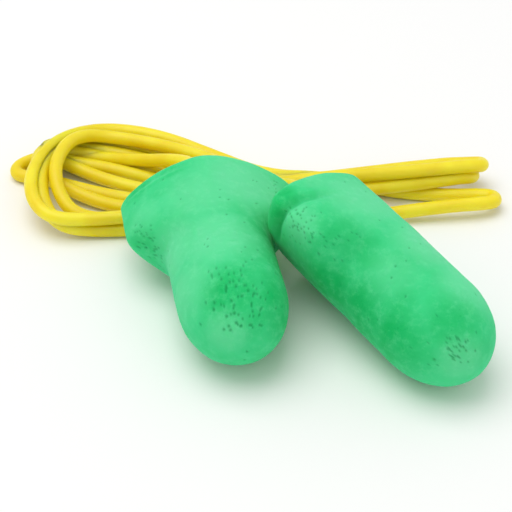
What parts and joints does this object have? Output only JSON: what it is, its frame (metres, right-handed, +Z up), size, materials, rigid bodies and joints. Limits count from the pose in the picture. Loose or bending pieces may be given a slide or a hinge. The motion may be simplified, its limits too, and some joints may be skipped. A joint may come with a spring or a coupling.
{
  "type": "corded foam ear plugs",
  "caption": "Soft T-shaped foam ear plugs joined by one thin cord, which is wound into a loose hank behind them.",
  "frame": {"origin": "on the table under the middle of the two plugs", "axes": "+Z up from the table, -Y towards the noses of the plugs, +Y towards the hank of cord, +X towards the plug that leans on its T grip"},
  "size_m": [0.0555, 0.0454, 0.014],
  "materials": {
    "foam": "matte, soft, slow-recovery foam with a fine skin",
    "cord": "smooth, soft, slightly translucent",
    "glue": "clear set glue"
  },
  "bodies": {
    "cord": {"cord_hank": "cord", "left_lead": "cord", "right_lead": "cord"},
    "left_plug": {"left_plug_foam": "foam", "left_cord_end": "cord", "left_glue_drop": "glue"},
    "right_plug": {"right_plug_foam": "foam", "right_cord_end": "cord", "right_glue_drop": "glue"}
  },
  "joints": [
    {"name": "left_plug_swing", "type": "hinge", "parent": "cord", "child": "left_plug", "pos_m": [-0.01029, 0.01468, 0.0055], "axis": [-0.9227, -0.1777, -0.342], "range_deg": [0, 45]},
    {"name": "right_plug_swing", "type": "hinge", "parent": "cord", "child": "right_plug", "pos_m": [0.00072, 0.0083, 0.00787], "axis": [-0.7612, -0.551, 0.342], "range_deg": [0, 45]}
  ]
}
